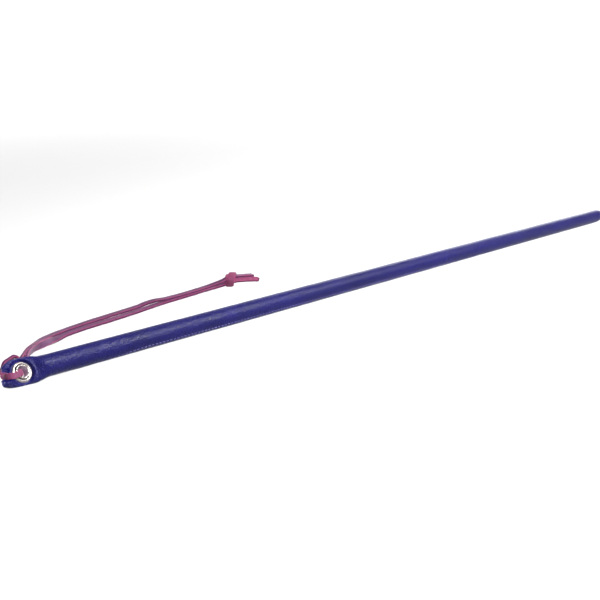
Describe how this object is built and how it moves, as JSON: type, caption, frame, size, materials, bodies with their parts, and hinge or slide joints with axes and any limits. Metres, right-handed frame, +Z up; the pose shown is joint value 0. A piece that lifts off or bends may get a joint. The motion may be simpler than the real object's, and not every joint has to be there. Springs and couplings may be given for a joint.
{
  "type": "leather-covered stick with wrist thong",
  "caption": "Slim round stick in stitched leather with a rounded tip, its flattened butt end pierced by a metal eyelet that holds a knotted lace wrist loop.",
  "frame": {"origin": "on the surface that the stick lies on, midway along the stick's length", "axes": "+X along the stick from the pierced butt end to the rounded tip, +Z up, and the thong lies on the +Y side"},
  "size_m": [0.5509, 0.0749, 0.0144],
  "materials": {
    "blue_leather": "grained leather, satin",
    "seam_thread": "waxed sewing thread",
    "cane": "plain rattan",
    "nickel": "bright nickel plating",
    "pink_lace": "smooth leather lace with bright cut edges"
  },
  "bodies": {
    "stick": {"core_rod": "cane", "leather_sleeve": "blue_leather", "seam_thread": "seam_thread", "eyelet_barrel": "nickel", "eyelet_washer": "nickel", "thong_hitch": "pink_lace"},
    "thong": {"thong_strand_near": "pink_lace", "thong_strand_far": "pink_lace", "thong_knot": "pink_lace", "thong_tail_upper": "pink_lace", "thong_tail_lower": "pink_lace"}
  },
  "joints": [
    {"name": "thong_swing", "type": "hinge", "parent": "stick", "child": "thong", "pos_m": [-0.2575, 0.0095, 0], "axis": [0, 0, 1], "range_deg": [-10, 90]}
  ]
}
